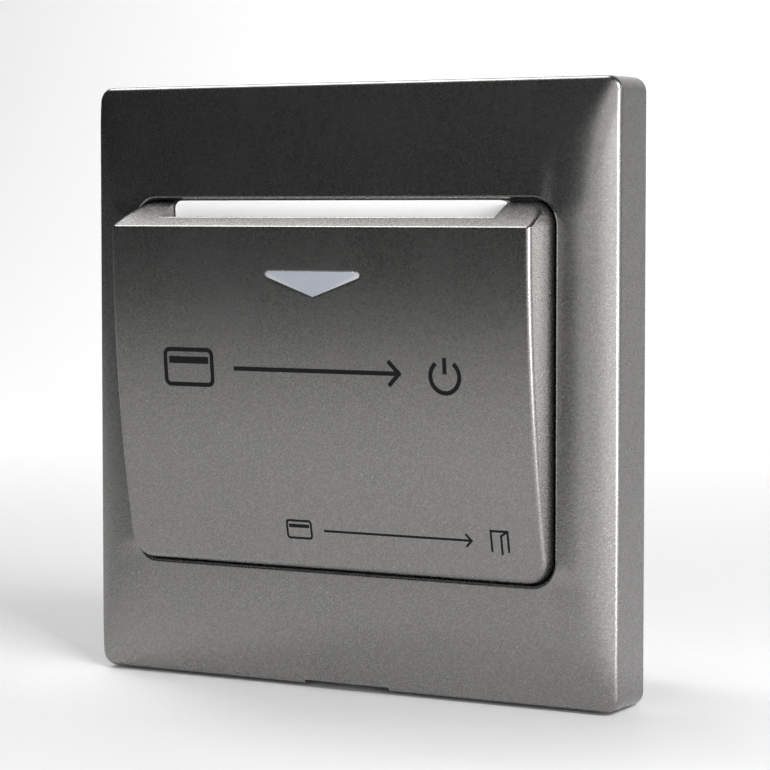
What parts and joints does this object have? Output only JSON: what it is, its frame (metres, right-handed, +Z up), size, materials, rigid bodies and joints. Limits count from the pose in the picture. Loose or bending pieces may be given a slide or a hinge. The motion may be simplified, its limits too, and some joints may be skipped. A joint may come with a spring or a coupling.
{
  "type": "hotel key card switch",
  "caption": "Square wall plate with a wedge-shaped card pocket: an inserted card pushes back a sprung feeler, which presses a microswitch that turns the room's power on.",
  "frame": {"origin": "on the wall plane, midway between the two wall fixing slots, which is the plate's middle", "axes": "+Z up the wall, +X to the right seen from the room, -Y out of the wall into the room, +Y into the wall"},
  "size_m": [0.086, 0.0416, 0.086],
  "materials": {
    "graphite_paint": "satin graphite paint with fine metal flake",
    "milky_lens": "milky translucent",
    "white_gloss": "gloss",
    "white_matte": "satin",
    "clear_acrylic": "clear",
    "steel": "plated",
    "brass": "plain",
    "black_plastic": "matte",
    "grey_plastic": "matte",
    "board_green": "solder mask",
    "plunger_red": "gloss",
    "relay_blue": "gloss",
    "film_yellow": "gloss",
    "sleeve_navy": "gloss sleeve",
    "disc_blue": "dipped gloss",
    "resistor_tan": "lacquer"
  },
  "bodies": {
    "wall_unit": {"faceplate_frame": "graphite_paint", "card_cover": "graphite_paint", "arrow_lens": "milky_lens", "pocket_backplate": "white_gloss", "light_guide": "clear_acrylic", "lever_pin": "steel", "lever_spring": "steel", "mounting_base": "white_matte", "rear_housing": "black_plastic", "housing_screws": "steel", "circuit_board": "board_green", "board_screws": "steel", "microswitch_body": "black_plastic", "microswitch_terminals": "brass", "indicator_led": "milky_lens", "timer_chip": "black_plastic", "relay": "relay_blue", "film_capacitor": "film_yellow", "electrolytic_capacitor": "sleeve_navy", "varistor": "disc_blue", "rectifier_diodes": "black_plastic", "resistors": "resistor_tan", "terminal_block": "grey_plastic", "terminal_cages": "brass", "terminal_screws": "steel"},
    "feeler": {"card_lever": "white_gloss"},
    "plunger": {"microswitch_plunger": "plunger_red"}
  },
  "joints": [
    {"name": "feeler_swing", "type": "hinge", "parent": "wall_unit", "child": "feeler", "pos_m": [0, -0.00409, -0.004], "axis": [1, 0, 0], "range_deg": [0, 11], "stiffness_Nm_per_rad": 0.005, "springref_deg": -22.92, "deforming": ["lever_spring"]},
    {"name": "plunger_press", "type": "slide", "parent": "wall_unit", "child": "plunger", "axis": [0, 1, 0], "range_m": [0, 0.0016]}
  ],
  "couplings": [
    {"joint": "plunger_press", "follows": "feeler_swing", "m_per_rad": 0.008}
  ]
}
